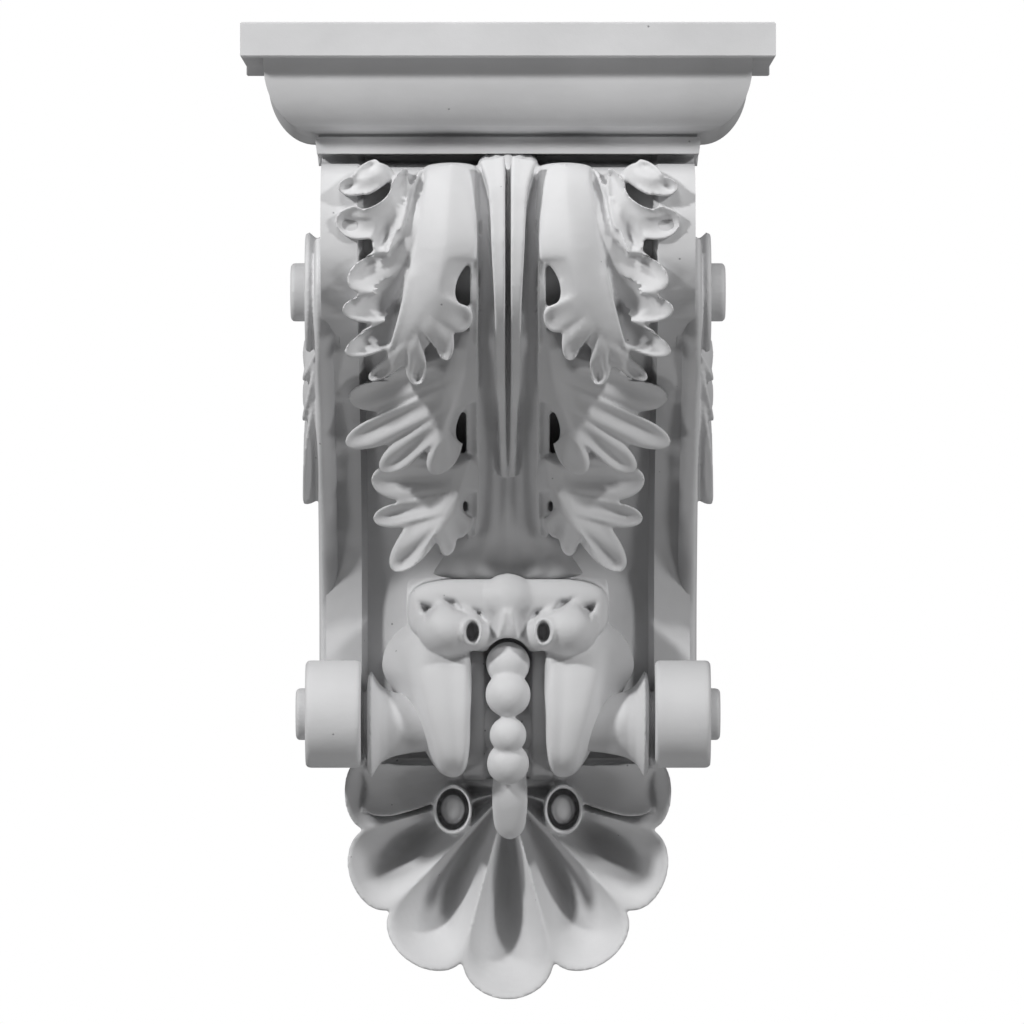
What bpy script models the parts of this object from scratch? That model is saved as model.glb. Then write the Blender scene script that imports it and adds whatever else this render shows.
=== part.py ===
"""Acanthus corbel: one casting with a cap moulding, a console with side scrolls, an acanthus leaf down
its front, a curled leaf end over pods and beads, a roll between two lower scrolls, and a shell.

X runs to the right, Z up and Y into the wall. The wall is the plane y = 0 and the front looks along -Y.
The origin is the middle of the flat back. Shapes are worked out in millimetres as across, projection
from the wall and height, and placed in metres.
"""

import math

import bmesh
import bpy
import numpy as np

MM = 0.001

# Driving sizes, in millimetres
HEIGHT = 540.0
TOP = HEIGHT / 2
CAP_DEPTH = 248.0
CAP_HALF_WIDTH = 145.3
BODY_HALF_WIDTH = 102.0
BURIED = 8.0
CAP_BURIED = 11.0

# Cap moulding
FASCIA_HEIGHT = 19.0
FILLET_HEIGHT = 3.0
SOFFIT_SET_BACK = 12.3
OVOLO_REACH = 26.6
OVOLO_HEIGHT = 36.0
QUIRK = 3.0
NECK_HEIGHT = 9.0
MOULD_DRAFT = 2.7
DRAFT_PROJECTION = 103.0
OVOLO_STEPS = 6

# Console: height and projection of its front border, from the cap down
BORDER_PROFILE = [
    (212, 184), (200, 184), (196, 189), (194, 204), (190, 218), (184, 226), (174, 231), (161, 234),
    (140, 232), (120, 218), (104, 195), (90, 173), (75, 150), (55, 121), (35, 97), (15, 78), (0, 67),
    (-20, 58), (-40, 54), (-80, 56), (-138, 52),
]
BODY_LEVELS = 24
BORDER_INNER_EDGE = 82.0
PANEL_HALF_WIDTH = 78.7
PANEL_RECESS = 11.0

# Lower scrolls and the roll between them: radius and distance across, outwards
LOWER_AXIS = (78.0, -108.7)
LOWER_SCROLL = [
    (0, 82), (28.5, 82), (30, 83.5), (30, 111.5), (28.5, 113), (24.5, 113), (23.5, 110), (15.5, 110),
    (14.5, 111), (14.5, 117), (13, 118.5), (0, 118.5),
]
ROLL_AXIS = (70.0, -114.5)
ROLL_BELL = [
    (0, 0), (14, 0), (14, 30), (15, 45), (16, 54), (17.5, 62), (19, 67), (22, 71.5), (26.5, 74.5),
    (29.5, 76), (29, 77.5), (26, 78.5), (18, 79), (18, 90), (0, 90),
]

# Upper scrolls on the sides: radius and distance across, outwards
UPPER_AXIS = (168.0, 125.0)
UPPER_SCROLL = [
    (0, 92), (33, 92), (33, 101), (30.5, 103), (29.5, 105.5), (31.5, 107.5), (33, 109), (32.5, 110.8),
    (31, 111.5), (24, 111), (20, 107), (16, 107), (16, 118), (14.5, 119.5), (0, 119.5),
]

# Leaf on each side: projection, height, distance across, half width
SIDE_LEAF = [
    [(150, 98, 104, 8), (132, 90, 110, 12), (118, 80, 112, 8)],
    [(142, 92, 104, 9), (118, 72, 110, 13), (100, 58, 112.5, 8)],
    [(132, 88, 102, 10), (100, 52, 110, 17), (66, 10, 112.5, 9)],
]
SIDE_RIB = [
    (196, 152), (204, 125), (182, 95), (150, 76), (116, 48), (84, 18), (62, -14), (44, -50), (40, -92),
]
SIDE_RIB_HALF_WIDTH = 7.0
SIDE_RIB_RELIEF = 4.0

# Acanthus leaf, right half. A rib is rows of (across, height, projection, half width).
MIDRIB = [
    (8.4, 195, 221, 7), (6.6, 185, 229, 5.2), (5.8, 174, 234, 4.3), (5.2, 146, 236, 3.7),
    (4.4, 114, 223, 2.9), (4.2, 78, 175, 2.7), (3.4, 60, 144, 2.1), (2.7, 25, 100, 1.6),
]
SHEATH = [
    (0, 197, 200, 16), (0, 188, 210, 17), (0, 158, 220, 18), (0, 125, 212, 18), (0, 104, 193, 19),
    (0, 85, 166, 19), (0, 66, 139, 20), (0, 44, 113, 20), (0, 22, 93, 21), (0, 4, 81, 23),
    (0, -10, 76, 28), (0, -22, 76, 37), (0, -34, 78, 45),
]
SHEATH_CROWN = 5.0
SHEATH_TIP = 0.1
SHEATH_FLUTES = (5, 0.8)
STEM = [
    (18.3, 156, 224, 2.2), (18.3, 141, 229, 2.2), (18.4, 118, 222, 2.4), (19.3, 93, 190, 2.8),
    (20, 66, 153, 3.2), (20, 39, 120, 3.2), (19.5, 11, 98, 3.2), (20.5, -10, 84, 2.6),
]

# A sheet of the leaf is a spine of (across, height, projection) and a rim. Each row of the rim is a notch
# and the tip of the lobe after it: (place along the spine, notch, tip, how deep the lobe is hollowed).
# Between them stands the power that sets how far out the hollows lie.
SHEETS = [
    ([(31, 194, 220), (32, 178, 234), (34, 152, 242), (38, 128, 238), (46, 109, 228), (54, 97, 218)], 2.6, [
        (0, (17, 192, 213), (16, 166, 231), 0),
        (2.4, (17, 141, 231), (28, 129, 230), 0),
        (3.2, (24, 117, 226), (20, 107, 222), 4),
        (3.8, (30, 103, 219), (33, 87, 213), 6),
        (4.3, (40, 99, 214), (44, 95, 212), 0),
        (4.5, (46, 93, 212), (48, 74, 202), 8),
        (5, (57, 85, 206), (75, 76, 199), 7),
        (4.8, (68, 89, 208), (53, 140, 231), 0),
        (0.2, (46, 192, 212), (31, 195, 212), 0),
    ]),
    ([(45, 189, 213), (48, 170, 228), (52, 150, 230), (57, 130, 222), (62, 112, 207)], 1.3, [
        (0, (38, 188, 213), (46, 140, 224), 0),
        (4, (60, 97, 205), (89, 93, 211), 6),
        (3.6, (68, 106, 213), (87, 107, 220), 8),
        (3.0, (77, 114, 224), (90, 121, 230), 8),
        (2.2, (77, 128, 232), (86, 138, 236), 8),
        (1.2, (65, 146, 234), (60, 162, 232), 3),
        (0, (49, 190, 214), (43, 191, 212), 0),
    ]),
    ([(58, 188, 220), (62, 177, 231), (68, 169, 235), (75, 165, 238), (81, 162, 239)], 1.5, [
        (0, (55, 187, 219), (55, 168, 231), 0),
        (1.4, (60, 157, 232), (67, 145, 234), 6),
        (2.6, (74, 153, 237), (93, 159, 238), 7),
        (3.6, (82, 171, 240), (72, 171, 240), 0),
        (0.8, (64, 181, 235), (57, 191, 228), 3),
    ]),
    ([(65, 189, 230), (70, 187, 236), (75, 186, 240), (80, 184, 241)], 1.5, [
        (0, (62, 188, 228), (70, 180, 236), 0),
        (2.4, (78, 177, 239), (92, 179, 239), 5),
        (2.4, (84, 187, 240), (76, 195, 234), 5),
        (1, (71, 193, 232), (66, 193, 230), 0),
    ]),
    ([(22, 104, 207), (24, 82, 191), (28, 66, 177), (33, 52, 167), (39, 41, 160)], 1.15, [
        (0, (17, 104, 198), (16, 84, 178), 0),
        (2.4, (18, 65, 155), (28, 54, 150), 0),
        (3.2, (25, 42, 144), (38, 25, 140), 4),
        (4, (44, 38, 145), (47, 40, 145), 0),
        (3.4, (48, 36, 138), (69, 26, 129), 11),
        (2.2, (63, 43, 138), (90, 43, 132), 12),
        (1.2, (64, 60, 148), (88, 67, 148), 12),
        (0.4, (66, 77, 166), (52, 92, 182), 6),
        (0, (36, 103, 192), (27, 105, 196), 0),
    ]),
    ([(21, 34, 132), (24, 20, 124), (30, 6, 118), (38, -4, 114), (47, -12, 110)], 1.15, [
        (0, (17, 31, 118), (16, 22, 112), 0),
        (1.2, (17, 15, 108), (25, 9, 107), 0),
        (1.9, (20, 1, 101), (24, -9, 98), 4),
        (2.7, (29, -7, 101), (33, -20, 97), 4),
        (3.4, (39, -11, 102), (63, -29, 93), 10),
        (2.2, (57, -4, 98), (75, 1, 98), 11),
        (1.2, (56, 10, 103), (76, 22, 107), 11),
        (0.4, (56, 30, 115), (38, 38, 122), 5),
    ]),
]
SHEET_RIM = 3.4
SHEET_DOME = 1.5
SHEET_EDGE = 3.0
CREST_SINK = 0.35
SHEET_CROWN = 0.14
HOLLOW_FULLNESS = 0.65
LOBE_FULLNESS = 0.72
LEAF_RIM = 2.6
LEAF_CROWN = 1.6
LEAF_TIP_THICKNESS = 7.0
LEAF_ROOT_HOLD = 8.0
LOBE_TIP = 1.3

# Curled leaf end: a plate, and bosses of (across, height, projection) and their radii, melted into one relief
CURL_PLATE = ((0, -50.5), (56, 20.5))
CURL_PLATE_SQUARENESS = 3.2
CURL_PLATE_SAG = 3.0
CURL_PLATE_FRONT = (84, 16)
CURL_BOSSES = [
    ((33.2, -60.5, 91), (17.5, 15.5, 22)), ((0, -44, 90), (15, 14, 16)), ((0, -57, 92), (8.5, 15, 14)),
    ((19.5, -62, 93), (10, 11.5, 16)), ((0, -60, 82), (30, 14, 15)),
]
CURL_BACK = 40.0
CURL_MELT = 1.8
EYE = ((19.8, -62.5), (3.5, 5.2))
EYE_DEPTH = 15.0
EYE_RIM = 3.4
EYE_SHARP = 14.0

# Below it: the pods with their outer flanks, as rows of height, inner edge, ridge, outer edge and projection
POD_ROWS = [
    (-56, 24, 44, 53, 80), (-63, 22, 47, 62, 87), (-71, 21, 49, 68, 93), (-83, 20.5, 49, 70.5, 98),
    (-95, 20.3, 47.5, 65, 100.5), (-110, 20.8, 44.5, 57, 101.5), (-123, 21.2, 41.5, 50, 100),
    (-133, 22, 39.5, 44.5, 97), (-139, 23.6, 37.5, 40.5, 92), (-142.5, 26, 35, 37, 86),
    (-144, 29, 32.5, 33.5, 80),
]
POD_FLANK = 60.0
POD_BACK = 30.0
POD_ROUND = 9.0
POD_ROUND_SHARE = 0.16
POD_FLUTE = 0.8
POD_FLUTE_PLACE = (0.38, 0.13)
POD_RIDGE_DROP = 3.5
BEADS = [(-80.4, 90.0, 12.3), (-97.4, 96.0, 12.6), (-120.0, 96.0, 10.3), (-136.0, 91.0, 11.8)]
BEAD_BED = [(-62, 84), (-100, 86), (-122, 84), (-134, 74), (-146, 50)]
BEAD_BED_HALF_WIDTH = 25.0
BEAD_GROOVE = 13.2
BEAD_TAIL = [(1, -140, 78, 9), (1, -158, 74, 10), (1, -179, 62, 8)]
ARCH = (12.8, -79.0, 13.0)

# Shell: hub, and the notches between its seven flutes from the bottom one outwards
SHELL_HUB = (0.0, -152.0)
SHELL_NOTCHES = [(25.6, -248.0), (66.0, -219.5), (80.0, -174.0), (82.0, -134.0)]
SHELL_BULGES = [22.3, 17.5, 16.5, 11.0]
SHELL_FLUTE_STEPS = 6
SHELL_RADIAL = [0.16, 0.4, 0.62, 0.82, 0.94, 1.0]
SHELL_RIDGE = (42.0, 46.0)
SHELL_FLUTE_DEPTH = 28.0
SHELL_FLUTE_REACH = 1.2
SHELL_LIP = 8.0
SHELL_BACK_SET_IN = 0.93
EAR = [
    (27, -146, 40, 7), (40, -148, 44, 10), (60, -151, 46, 14), (76, -152, 43, 16.5), (84, -152, 38, 16.5),
]
EAR_DEPTH = 30.0
EAR_CROWN = 1.0
EAR_RIM = 6.0
KNOB_PLACE = (31.0, -162.5)
KNOB_STRETCH = (0.84, 1.08)
KNOB_PROFILE = [
    (13, 18), (13, 62), (12.4, 64), (11.2, 63), (10.4, 46), (8, 46), (7.8, 55), (6, 58.5), (0, 60),
]

# How finely each form is stepped before the melt, and the faces that the skin keeps
FINE_SIDES = 24
LOBE_SIDES = 8
LOBE_RINGS = 5
BLADE_RINGS = 16
SHEATH_RINGS = 32
SHEATH_SIDES = 60
EAR_SIDES = 12
LOBE_STEPS = 10
CREST_BLEND = 5
SHEET_RINGS = 12
RELIEF_STEP = 1.4
SKIN_STEP = 1.7
KEPT_FACES = 0.0255
ROW_STEPS = 60
POD_STEPS = (90, 40, 14)
BED_STEPS = 24


def smooth_rows(rows, count):
    """Catmull-Rom curve through the rows, read at evenly spaced parameters."""
    rows = np.array(rows, float)
    ends = np.vstack([2 * rows[0] - rows[1], rows, 2 * rows[-1] - rows[-2]])
    place = np.linspace(0, len(rows) - 1, count)
    first = np.minimum(place.astype(int), len(rows) - 2)
    part = (place - first)[:, None]
    a, b, c, d = ends[first], ends[first + 1], ends[first + 2], ends[first + 3]
    squares = (2 * a - 5 * b + 4 * c - d) * part**2
    cubes = (3 * b - a - 3 * c + d) * part**3
    return (2 * b + (c - a) * part + squares + cubes) / 2


def unit(vectors):
    return vectors / np.linalg.norm(vectors, axis=-1, keepdims=True)


def panel_projection(height):
    """Projection of the console's sunk panel at a height."""
    heights, projections = np.array(BORDER_PROFILE, float).T
    return np.interp(height, heights[::-1], projections[::-1]) - PANEL_RECESS


def closed_form(rings, flat_ends=False):
    """Points and faces of a closed form from rings of (across, projection, height).

    The first and the last ring are closed on their middles, or each by one flat face.
    """
    rings = np.asarray(rings, float)
    count, sides = rings.shape[:2]
    points = np.vstack([rings.reshape(-1, 3), rings[0].mean(0), rings[-1].mean(0)])
    start, end = count * sides, count * sides + 1
    low = np.arange((count - 1) * sides).reshape(count - 1, sides)
    after = np.roll(low, -1, axis=1)
    quads = np.stack([low, after, after + sides, low + sides], axis=-1).reshape(-1, 4)
    first, last = np.arange(sides), np.arange(sides) + (count - 1) * sides
    faces = [tuple(quad) for quad in quads.tolist()]
    if flat_ends:
        return points[:start], faces + [tuple(first[::-1].tolist()), tuple(last.tolist())]
    faces += [(start, b, a) for a, b in zip(first.tolist(), np.roll(first, -1).tolist())]
    faces += [(end, a, b) for a, b in zip(last.tolist(), np.roll(last, -1).tolist())]
    return points, faces


def mesh_object(name, forms, material, group, guide=False):
    """One object that holds the closed forms, each with its faces turned outwards."""
    mesh = bpy.data.meshes.new(name)
    points, faces, used = [], [], 0
    for form_points, form_faces in forms:
        points.append(np.column_stack([form_points[:, 0], -form_points[:, 1], form_points[:, 2]]) * MM)
        faces += [tuple(corner + used for corner in face) for face in form_faces]
        used += len(form_points)
    mesh.from_pydata(np.vstack(points).tolist(), [], faces)
    form = bmesh.new()
    form.from_mesh(mesh)
    bmesh.ops.triangulate(form, faces=form.faces)
    bmesh.ops.recalc_face_normals(form, faces=form.faces)
    form.to_mesh(mesh)
    form.free()
    mesh.materials.append(material)
    piece = bpy.data.objects.new(name, mesh)
    group.objects.link(piece)
    piece.hide_render = guide
    piece.display_type = "WIRE" if guide else "TEXTURED"
    return piece


def ellipsoid(centre, radii, rows=9, sides=14):
    """A sphere stretched to three radii about a centre, in across, projection and height."""
    polar = np.linspace(0, math.pi, rows + 2)[1:-1, None]
    angle = np.linspace(0, 2 * math.pi, sides, endpoint=False)[None]
    ball = [np.sin(polar) * np.cos(angle), np.sin(polar) * np.sin(angle), np.cos(polar) + 0 * angle]
    return closed_form(np.array(centre) + np.stack(ball, -1) * np.array(radii))


def turned_across(axis, profile, side, sides=FINE_SIDES):
    """Rings of a profile of (radius, across) turned about a line across the corbel."""
    angle = np.linspace(0, 2 * math.pi, sides, endpoint=False)
    return [
        np.column_stack([
            np.full(sides, side * across),
            axis[0] + radius * np.cos(angle),
            axis[1] + radius * np.sin(angle),
        ])
        for radius, across in profile
    ]


def turned_forward(place, profile, side, sides=14):
    """Rings of a profile of (radius, projection) turned about a line that comes out of the wall."""
    angle = np.linspace(0, 2 * math.pi, sides, endpoint=False)
    wide, high = KNOB_STRETCH
    return [
        np.column_stack([
            side * place[0] + wide * radius * np.cos(angle),
            np.full(sides, projection),
            place[1] + high * radius * np.sin(angle),
        ])
        for radius, projection in profile
    ]


def tongue(path, root_thickness, rings, rim=LEAF_RIM, crown=LEAF_CROWN, sides=LOBE_SIDES, tip=LOBE_TIP,
           flutes=(0, 0)):
    """Rings of a tongue-shaped lobe along a path of (u, v, lift, half width).

    Each ring is cos(a) half widths sideways. Its front stands crown * sin(a) + rim * cos(a)^2 off the
    path, so the edges stand up like a gutter's, and its underside falls by the lobe's thickness, which
    shrinks from the root to the tip. The tip is closed as half an ellipse as long as `tip` half
    widths. Flutes, as a number and a depth, are a cosine wave across the front.
    """
    curve = smooth_rows(path, ROW_STEPS)
    centre = curve[:, [0, 2, 1]]
    run = np.concatenate([[0], np.cumsum(np.linalg.norm(np.diff(centre, axis=0), axis=1))])
    along = np.sin(np.linspace(0, math.pi / 2, rings)) * run[-1]
    centre = np.column_stack([np.interp(along, run, centre[:, k]) for k in range(3)])
    half_width = np.interp(along, run, curve[:, 3])
    tip_start = run[-1] - tip * curve[-1, 3]
    into_tip = np.clip((along - tip_start) / (run[-1] - tip_start), 0, 0.995)
    closing = np.sqrt(1 - into_tip**2)
    heading = unit(np.gradient(centre, along, axis=0))
    sideways = unit(np.cross(heading, [0.0, 1.0, 0.0]))
    outwards = np.cross(sideways, heading)
    outwards *= np.sign(outwards[:, 1:2])
    share = along / run[-1]
    thickness = root_thickness + (LEAF_TIP_THICKNESS - root_thickness) * share
    angle = np.linspace(0, 2 * math.pi, sides, endpoint=False) + math.pi / sides
    shape = []
    for k in range(rings):
        lift = np.where(np.sin(angle) > 0, crown, thickness[k]) * np.sin(angle) * closing[k]
        lift += rim * np.cos(angle) ** 2 * closing[k]
        lift += flutes[1] * np.cos(flutes[0] * math.pi * np.cos(angle)) * np.clip(np.sin(angle), 0, None)
        offset = half_width[k] * closing[k] * np.cos(angle)
        shape.append(centre[k] + offset[:, None] * sideways[k] + lift[:, None] * outwards[k])
    return np.array(shape)


def lobed_rim(rim, steps=LOBE_STEPS):
    """Places round a sheet's rim, with their place along the spine, place across their lobe, and its hollow.

    Between two notches the rim is half an ellipse that leans over to the lobe's tip; a hollow lobe's end
    is blunter, by a power of the sine under one.
    """
    turn = np.linspace(0, math.pi, steps, endpoint=False)[:, None]
    share = (1 - np.cos(turn)) / 2
    places, along, across, hollow = [], [], [], []
    for (start, notch, tip, cup), (stop, after, _, _) in zip(rim, rim[1:] + rim[:1]):
        notch, tip, after = (np.array(point, float) for point in (notch, tip, after))
        bulge = np.sin(turn) ** (LOBE_FULLNESS if cup else 1.0)
        places.append(notch + (after - notch) * share + (tip - (notch + after) / 2) * bulge)
        along.append(start + (stop - start) * share[:, 0])
        across.append(-np.cos(turn[:, 0]))
        hollow.append(np.full(steps, float(cup)))
    return np.vstack(places), np.concatenate(along), np.concatenate(across), np.concatenate(hollow)


def leaf_sheet(spine, outwards, rim):
    """Rings of a sheet of the leaf, straight from its spine out to its rim, and back underneath.

    Its projection changes by a power of the way out, so the spine is a round back. The front is sunk by
    each lobe's hollow, a cosine wave across the lobe and half a sine wave on the way out; the crests
    between the hollows sink by a share of it. It turns up in a lip and is rounded off at the rim. Its
    underside falls from a thin rim to the panel.
    """
    places, along, across, hollow = lobed_rim(rim)
    path = smooth_rows(spine, ROW_STEPS)
    place = np.linspace(0, len(spine) - 1, ROW_STEPS)
    root = np.column_stack([np.interp(along, place, path[:, k]) for k in range(3)])
    out = np.sin(np.linspace(0, math.pi / 2, SHEET_RINGS))[:, None]
    reach = out[..., None]
    front = root + (places - root) * reach
    front[..., 2] = root[:, 2] + (places[:, 2] - root[:, 2]) * out ** SHEET_DOME
    near = range(-CREST_BLEND, CREST_BLEND + 1)
    crest = np.mean([np.roll(hollow, shift) for shift in near], axis=0)
    wave = (1 + np.cos(math.pi * across)) / 2
    lobe = CREST_SINK * crest + (1 - CREST_SINK) * hollow * wave
    past_crown = np.clip((out - SHEET_CROWN) / (1 - SHEET_CROWN), 0, 1)
    lift = -lobe * np.sin(math.pi * past_crown**outwards) ** HOLLOW_FULLNESS
    lift = lift + SHEET_RIM * (crest > 0) * out**6 - SHEET_EDGE * np.clip((out - 0.9) / 0.1, 0, 1) ** 2
    depth = np.maximum(front[..., 2] - panel_projection(front[..., 1]) + LEAF_ROOT_HOLD, LEAF_TIP_THICKNESS)
    thickness = LEAF_TIP_THICKNESS + (depth - LEAF_TIP_THICKNESS) * np.clip(1.35 - 1.5 * out, 0, 1)
    under = front[..., 2] - thickness
    front_rings = np.stack([front[..., 0], front[..., 2] + lift, front[..., 1]], axis=-1)
    under_rings = np.stack([front[..., 0], under, front[..., 1]], axis=-1)[::-1]
    return np.concatenate([front_rings, under_rings])


def root_depth(path):
    """How thick a lobe's root is so that it is held by the console's panel."""
    return path[0][2] - panel_projection(path[0][1]) + LEAF_ROOT_HOLD


def mirrored(rings, side):
    return np.asarray(rings) * [side, 1, 1]


def seen_from_side(rings, side):
    """Turns rings of (along the projection, lift, height) so that the lift goes sideways."""
    rings = np.asarray(rings)
    return np.stack([side * rings[..., 1], rings[..., 0], rings[..., 2]], axis=-1)


def cap_rings():
    """Drafted rectangles down the cap: fascia, soffit, ovolo, quirk and neck fillet."""
    soffit = TOP - FASCIA_HEIGHT
    ovolo_top = soffit - FILLET_HEIGHT
    inner = CAP_DEPTH - SOFFIT_SET_BACK - OVOLO_REACH
    levels = [(TOP, CAP_DEPTH), (soffit, CAP_DEPTH), (soffit, CAP_DEPTH - SOFFIT_SET_BACK)]
    for step in range(OVOLO_STEPS + 1):
        turn = step / OVOLO_STEPS * math.pi / 2
        levels.append((ovolo_top - OVOLO_HEIGHT * math.sin(turn), inner + OVOLO_REACH * math.cos(turn)))
    neck = ovolo_top - OVOLO_HEIGHT - QUIRK / 2
    levels += [(neck, inner - QUIRK), (neck - QUIRK / 2, inner - QUIRK), (neck - QUIRK / 2, inner - 1)]
    levels += [(neck - QUIRK / 2 - NECK_HEIGHT, inner - 2)]
    draft = MOULD_DRAFT * (DRAFT_PROJECTION + CAP_BURIED) / DRAFT_PROJECTION
    rings = []
    for height, front in levels:
        half = CAP_HALF_WIDTH - (CAP_DEPTH - front)
        rings.append([
            (-half - draft, -CAP_BURIED, height), (-half, DRAFT_PROJECTION, height), (-half, front, height),
            (half, front, height), (half, DRAFT_PROJECTION, height), (half + draft, -CAP_BURIED, height),
        ])
    return rings


def console_rings():
    """The console's S-shaped front with a border each side of its sunk panel."""
    rings = []
    half, edge, panel = BODY_HALF_WIDTH, BORDER_INNER_EDGE, PANEL_HALF_WIDTH
    for height, front in smooth_rows(BORDER_PROFILE, BODY_LEVELS):
        sunk = front - PANEL_RECESS
        rings.append([
            (-half, -BURIED, height), (-half, front, height), (-edge, front, height), (-panel, sunk, height),
            (panel, sunk, height), (edge, front, height), (half, front, height), (half, -BURIED, height),
        ])
    return rings


def curl_relief(step=RELIEF_STEP):
    """The curled leaf end as a height over the wall, P(x, z), on a grid.

    The plate is a blunt superellipse that sags in its middle by a parabola. Each boss gives the front of its
    ellipsoid; they melt by a soft maximum, m * log(sum(exp(P / m))). An eye is a pit with a rim round it, by
    the distance from its centre in its own radii.
    """
    x, z = np.meshgrid(np.arange(-57, 57.1, step), np.arange(-84, -26, step))
    right = np.abs(x)
    heaps = np.exp((CURL_BACK - 100) / CURL_MELT) + 0 * x
    (px, pz), (rx, rz) = CURL_PLATE
    level = z + CURL_PLATE_SAG * (1 - (right / rx) ** 2)
    inside = ((right - px) / rx) ** CURL_PLATE_SQUARENESS + (np.abs(level - pz) / rz) ** CURL_PLATE_SQUARENESS
    inside = np.clip(1 - inside, 0, None)
    base, rise = CURL_PLATE_FRONT
    heaps = heaps + np.exp((np.where(inside > 0, base + rise * inside**0.3, CURL_BACK) - 100) / CURL_MELT)
    for (cx, cz, cp), (rx, rz, rp) in CURL_BOSSES:
        inside = 1 - (np.abs(right - cx) / rx) ** 2 - ((z - cz) / rz) ** 2
        front = np.where(inside > 0, cp + rp * np.sqrt(np.clip(inside, 0, None)), CURL_BACK)
        heaps = heaps + np.exp((front - 100) / CURL_MELT)
    relief = 100 + CURL_MELT * np.log(heaps)
    standing = np.clip((relief - 84) / 8, 0, 1)
    (ex, ez), (rx, rz) = EYE
    out = np.hypot((right - ex) / rx, (z - ez) / rz)
    relief = relief + EYE_RIM * np.exp(-((out - 1.45) / 0.4) ** 2) * standing
    relief = relief - EYE_DEPTH * standing / (1 + np.exp((out - 1) * EYE_SHARP))
    arch_width, arch_middle, arch_height = ARCH
    open_arch = (right / arch_width) ** 2 + (np.maximum(z - arch_middle, 0) / arch_height) ** 2
    relief = np.where(open_arch < 1, CURL_BACK, relief)
    return relief_form(x, z, relief, CURL_BACK - 12)


def relief_form(x, z, relief, back):
    """Closed form of a height over a grid: its front, and a flat back at one projection."""
    rows, columns = x.shape
    front = np.stack([x, relief, z], axis=-1)
    rear = np.stack([x, np.full_like(x, back), z], axis=-1)
    points = np.concatenate([front.reshape(-1, 3), rear.reshape(-1, 3)])
    cell = (np.arange(rows - 1)[:, None] * columns + np.arange(columns - 1)).ravel()
    quads = np.stack([cell, cell + 1, cell + columns + 1, cell + columns], axis=-1)
    edge = np.concatenate([
        np.arange(columns), np.arange(1, rows) * columns + columns - 1,
        (rows - 1) * columns + np.arange(columns - 2, -1, -1), np.arange(rows - 2, 0, -1) * columns,
    ])
    after = np.roll(edge, -1)
    size = rows * columns
    wall = np.stack([edge, edge + size, after + size, after], axis=-1)
    return points, np.concatenate([quads, quads[:, ::-1] + size, wall]).tolist()


def shell_outline():
    """Places round the shell's rim with how far each lies across its flute, from -1 to 1.

    Each flute ends in half an ellipse that stands on the line between its two notches.
    """
    notches = [(-x, z) for x, z in SHELL_NOTCHES[::-1]] + SHELL_NOTCHES
    bulges = SHELL_BULGES[:0:-1] + SHELL_BULGES
    places, across = [], []
    for (x0, z0), (x1, z1), bulge in zip(notches[:-1], notches[1:], bulges):
        turn = np.linspace(-math.pi / 2, math.pi / 2, SHELL_FLUTE_STEPS, endpoint=False)
        chord = np.array([x1 - x0, z1 - z0])
        outwards = np.array([chord[1], -chord[0]]) / np.linalg.norm(chord)
        middle = np.array([x0 + x1, z0 + z1]) / 2
        places.append(middle + np.outer(np.sin(turn), chord / 2) + np.outer(np.cos(turn), outwards * bulge))
        across.append(np.sin(turn))
    places.append(np.array([notches[-1]]))
    across.append(np.array([-1.0]))
    return np.vstack(places), np.concatenate(across)


def shell_rings():
    """Rings from the shell's hub out to its rim, then back to the wall.

    The crest between flutes climbs evenly; a flute is sunk by a parabola across it and turns forward
    again in a lip at the rim.
    """
    outline, across = shell_outline()
    hub = np.array(SHELL_HUB)
    rings = []
    for radius in SHELL_RADIAL:
        crest = SHELL_RIDGE[0] + (SHELL_RIDGE[1] - SHELL_RIDGE[0]) * radius
        sunk = SHELL_FLUTE_DEPTH * math.sin(math.pi * min(radius, 0.97) ** SHELL_FLUTE_REACH)
        lip = SHELL_LIP * radius**6
        projection = crest + (lip - sunk) * (1 - across**2)
        flat = hub + (outline - hub) * radius
        rings.append(np.column_stack([flat[:, 0], projection, flat[:, 1]]))
    back = hub + (outline - hub) * SHELL_BACK_SET_IN
    rings.append(np.column_stack([back[:, 0], np.full(len(back), -CAP_BURIED), back[:, 1]]))
    return rings


def side_forms(side):
    """Scrolls, leaf and rib of one side."""
    forms = [closed_form(turned_across(LOWER_AXIS, LOWER_SCROLL, side))]
    forms.append(closed_form(turned_across(ROLL_AXIS, ROLL_BELL, side)))
    forms.append(closed_form(turned_across(UPPER_AXIS, UPPER_SCROLL, side)))
    for path in SIDE_LEAF:
        rows = [(p, z, across, half) for p, z, across, half in path]
        lobe = tongue(rows, path[0][2] - BODY_HALF_WIDTH + LEAF_ROOT_HOLD, LOBE_RINGS)
        forms.append(closed_form(seen_from_side(lobe, side)))
    rib = [(p, z, BODY_HALF_WIDTH + SIDE_RIB_RELIEF / 2, SIDE_RIB_HALF_WIDTH) for p, z in SIDE_RIB]
    rib = tongue(rib, LEAF_ROOT_HOLD, SHEATH_RINGS, rim=0.0, crown=SIDE_RIB_RELIEF / 2)
    forms.append(closed_form(seen_from_side(rib, side)))
    return forms


def leaf_forms(side):
    """One half of the acanthus leaf: midrib, stem and sheets."""
    forms = []
    for path, crown in [(MIDRIB, 2 * LEAF_CROWN), (STEM, LEAF_CROWN)]:
        forms.append(closed_form(mirrored(tongue(path, root_depth(path), BLADE_RINGS, crown=crown), side)))
    for sheet in SHEETS:
        forms.append(closed_form(mirrored(leaf_sheet(*sheet), side)))
    return forms


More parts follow.
